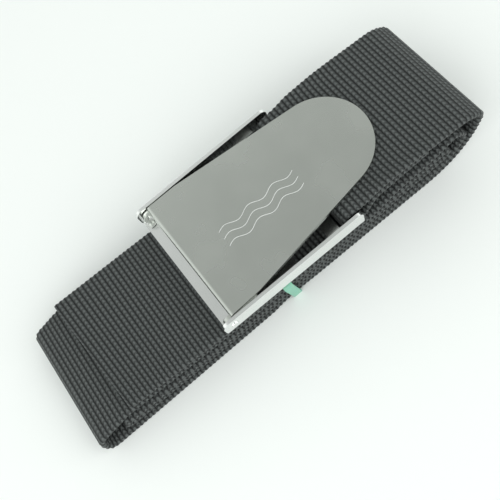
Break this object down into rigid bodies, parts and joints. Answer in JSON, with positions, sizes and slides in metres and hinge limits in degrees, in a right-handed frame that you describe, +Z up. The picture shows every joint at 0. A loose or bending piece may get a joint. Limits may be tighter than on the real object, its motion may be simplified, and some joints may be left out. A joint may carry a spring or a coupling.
{
  "type": "dive weight belt",
  "caption": "Folded nylon webbing belt with a stainless cam-lever buckle on its looped end, held as a flat pack by a rubber band.",
  "frame": {"origin": "centre of the folded pack's footprint, on the surface that it lies on", "axes": "+X along the pack towards the lever's tip, +Z up, +Y completes the right-handed frame"},
  "size_m": [0.1768, 0.0556, 0.0309],
  "materials": {
    "webbing": "ribbed nylon weave",
    "frame_steel": "polished sheet",
    "lever_steel": "fine satin sheet",
    "band_rubber": "soft translucent"
  },
  "bodies": {
    "belt": {"webbing_strap": "webbing", "buckle_frame": "frame_steel", "hinge_pins": "frame_steel", "retaining_band": "band_rubber"},
    "lever": {"cam_lever": "lever_steel"}
  },
  "joints": [
    {"name": "lever_hinge", "type": "hinge", "parent": "belt", "child": "lever", "pos_m": [-0.02293, 0, 0.0229], "axis": [0, -1, 0], "range_deg": [0, 110]}
  ]
}
